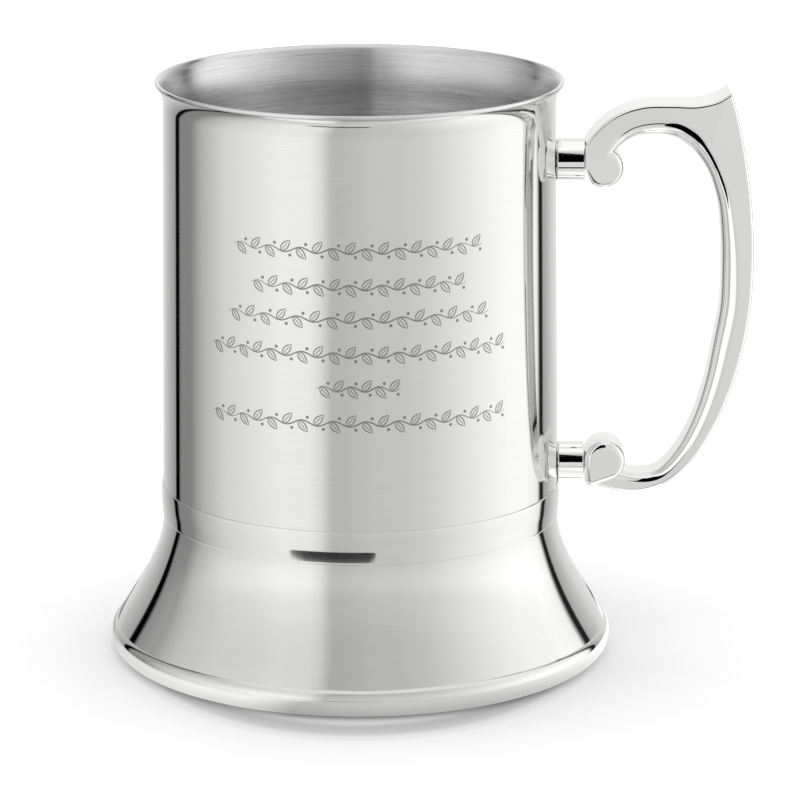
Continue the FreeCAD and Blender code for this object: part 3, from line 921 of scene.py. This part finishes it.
# ---- engraving ------------------------------------------------------------------------
# Six centred rows of vine on the front wall: (height, half length along the wall), in mm.
ROWS = [(96.7, 27.4), (89.1, 23.3), (82.3, 29.1), (74.9, 33.8), (67.8, 8.7), (60.4, 33.8)]
PROUD = 0.02              # how far the lines stand off the wall, so that they show
STEM_SWING = 0.55         # height of the vine's waves
STEM_WAVE = 6.9           # length of one wave
STEM_WIDTH = 0.30
LEAF_LENGTH = 3.1
LEAF_WIDTH = 1.35
LEAF_LINE = 0.26
LEAF_DEG = 48             # how far a leaf leans out from the stem
RIB_LENGTH = 0.8          # a midrib, as a share of its leaf
RIB_LINE = 0.7            # and of the outline's width
BERRY_R = 0.34
BERRY_OFF = 0.95          # from the stem to a berry
BERRY_AHEAD = 0.30        # from a leaf to the next berry, as a share of a wave
TIP_WIDTH = 0.35          # a line's tips, as a share of its width
TIP_STEPS = 0.25          # the share of a line that tapers at each end


def on_wall(s, z):
    """A point of the flat drawing laid on the outer wall's front."""
    radius = WALL_TOP[0] + (WALL_TOP[1] - z) * math.tan(TILT) + PROUD
    turn = s / radius
    return (radius * math.sin(turn) * MM, -radius * math.cos(turn) * MM, z * MM)


def ribbon(points, faces, path, width):
    """A line of even width with tapered ends, drawn on the wall."""
    first = len(points)
    last = len(path) - 1
    for i, (s, z) in enumerate(path):
        before = path[max(i - 1, 0)]
        after = path[min(i + 1, last)]
        ds = after[0] - before[0]
        dz = after[1] - before[1]
        length = math.hypot(ds, dz)
        inward = min(i, last - i) / last / TIP_STEPS
        taper = min(1.0, TIP_WIDTH + (1 - TIP_WIDTH) * inward)
        half = width / 2 * taper
        points.append(on_wall(s - dz / length * half, z + ds / length * half))
        points.append(on_wall(s + dz / length * half, z - ds / length * half))
    for i in range(last):
        k = first + 2 * i
        faces.append((k, k + 1, k + 3, k + 2))


def leaf(points, faces, s, z, heading):
    """A pointed oval with a midrib, drawn in outline."""
    ahead = (math.cos(heading), math.sin(heading))
    for side in (-1, 0, 1):
        path = []
        for i in range(13):
            t = i / 12
            along = t * LEAF_LENGTH * (1.0 if side else RIB_LENGTH)
            out = side * LEAF_WIDTH / 2 * math.sin(math.pi * t ** 0.85)
            across = s + ahead[0] * along - ahead[1] * out
            path.append((across, z + ahead[1] * along + ahead[0] * out))
        ribbon(points, faces, path, LEAF_LINE if side else LEAF_LINE * RIB_LINE)


def berry(points, faces, s, z):
    count = 14
    first = len(points)
    for i in range(count):
        a = 2 * math.pi * i / count
        points.append(on_wall(s + BERRY_R * math.cos(a), z + BERRY_R * math.sin(a)))
    faces.append(tuple(range(first, first + count)))


def vine_row(points, faces, z, half):
    """A wavy stem with leaves and berries on alternate sides."""
    waves = max(1, round(2 * half / STEM_WAVE))
    step = 2 * half / waves

    def stem(s):
        return z + STEM_SWING * math.sin(2 * math.pi * (s + half) / step)

    steps = 14 * waves
    stops = [-half + 2 * half * i / steps for i in range(steps + 1)]
    ribbon(points, faces, [(s, stem(s)) for s in stops], STEM_WIDTH)
    for i in range(2 * waves):
        s = -half + step * (i + 0.25) / 2
        up = 1 if i % 2 else -1
        leaf(points, faces, s, stem(s), up * math.radians(LEAF_DEG))
        side = s + step * BERRY_AHEAD
        berry(points, faces, side, stem(side) - up * BERRY_OFF)


def engraving(material):
    points = []
    faces = []
    for z, half in ROWS:
        vine_row(points, faces, z, half)
    return add_piece("vine_engraving", points, faces, "body_shell", material, False)


def dress_all():
    """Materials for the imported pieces, and the finer pieces that stand in for four of them.

    Returns the pieces of the cup, which the black flags don't show in."""
    steel = polished_steel()
    cast = plated("plated_casting", 0.88, 0.91, 0.03)
    spacer = plated("plated_spacer", 0.94, 0.97, 0.03)
    stud = plain_steel()
    dress("base_plate", satin_plate())
    dress("upper_ferrule", spacer)
    dress("lower_ferrule", spacer)
    dress("upper_stud", stud)
    dress("lower_stud", stud)
    scroll_handle(cast)
    return [
        NODES["base_plate"],
        lathe("outer_wall", shell_profile(), "body_shell", steel),
        lathe("cup_liner", liner_profile(), "inner_liner", brushed_steel()),
        lathe("bell_foot", skirt_profile(), "base_skirt", steel),
        engraving(engraved_steel()),
    ]


make_camera()
make_world()
make_floor()
make_gap()
make_flags(dress_all())
